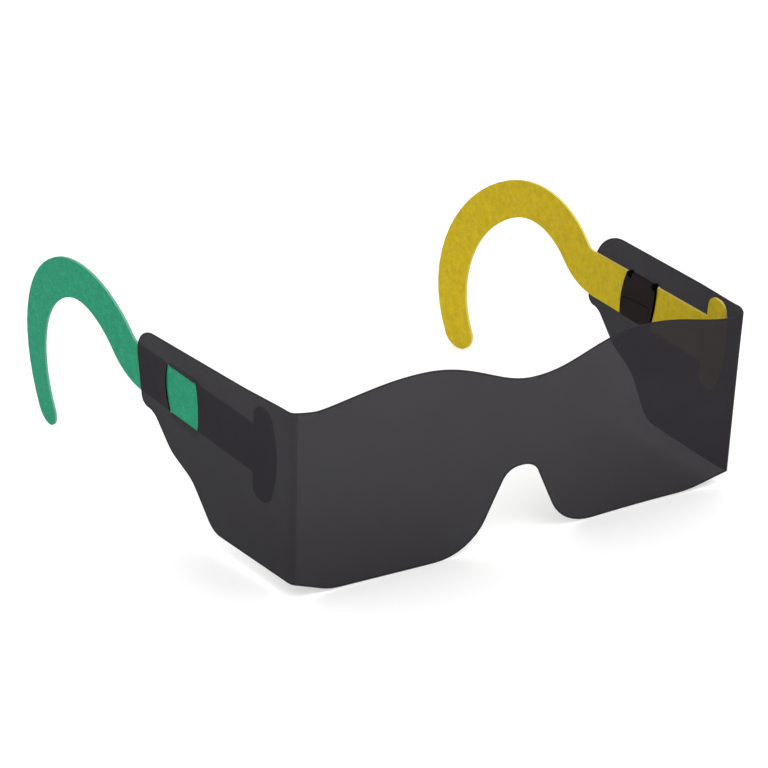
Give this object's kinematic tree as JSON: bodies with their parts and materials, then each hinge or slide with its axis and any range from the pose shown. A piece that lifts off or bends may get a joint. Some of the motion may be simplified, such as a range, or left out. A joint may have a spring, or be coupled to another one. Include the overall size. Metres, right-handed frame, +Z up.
{
  "type": "disposable eye shield",
  "caption": "Wrap-round tinted film eye shield with folding side panels and curved pressboard ear hooks that slide in slits.",
  "frame": {"origin": "centre of the object's box in plan, on the surface that it stands on", "axes": "+Z up, front facing -Y, ear hooks towards +Y, +X to the wearer's left; the front leans 10.6 degrees towards -Y, because the shield stands on its lower edges and on the hook tips"},
  "size_m": [0.1852, 0.1686, 0.0788],
  "materials": {
    "tinted_film": "smoke-grey see-through film, glossy",
    "film_crease": "smoke-grey film along the fold, glossy",
    "green_board": "dyed pressboard, matt, with fibres",
    "yellow_board": "dyed pressboard, matt, with fibres"
  },
  "bodies": {
    "front": {"front_shield": "tinted_film", "right_crease": "film_crease", "left_crease": "film_crease"},
    "right_side": {"right_side_panel": "tinted_film"},
    "left_side": {"left_side_panel": "tinted_film"},
    "right_hook": {"right_ear_hook": "green_board"},
    "left_hook": {"left_ear_hook": "yellow_board"}
  },
  "joints": [
    {"name": "right_fold", "type": "hinge", "parent": "front", "child": "right_side", "pos_m": [-0.05779, -0.07666, 0.03496], "axis": [0, -0.1831, 0.9831], "range_deg": [-31.5, 76.5]},
    {"name": "left_fold", "type": "hinge", "parent": "front", "child": "left_side", "pos_m": [0.09222, -0.07666, 0.03496], "axis": [0, 0.1831, -0.9831], "range_deg": [-14, 94]},
    {"name": "right_hook_slide", "type": "slide", "parent": "right_side", "child": "right_hook", "axis": [-0.2328, 0.9666, 0.1073], "range_m": [-0.007, 0.027]},
    {"name": "left_hook_slide", "type": "slide", "parent": "left_side", "child": "left_hook", "axis": [-0.0692, 0.996, 0.0563], "range_m": [-0.0048, 0.0292]}
  ]
}
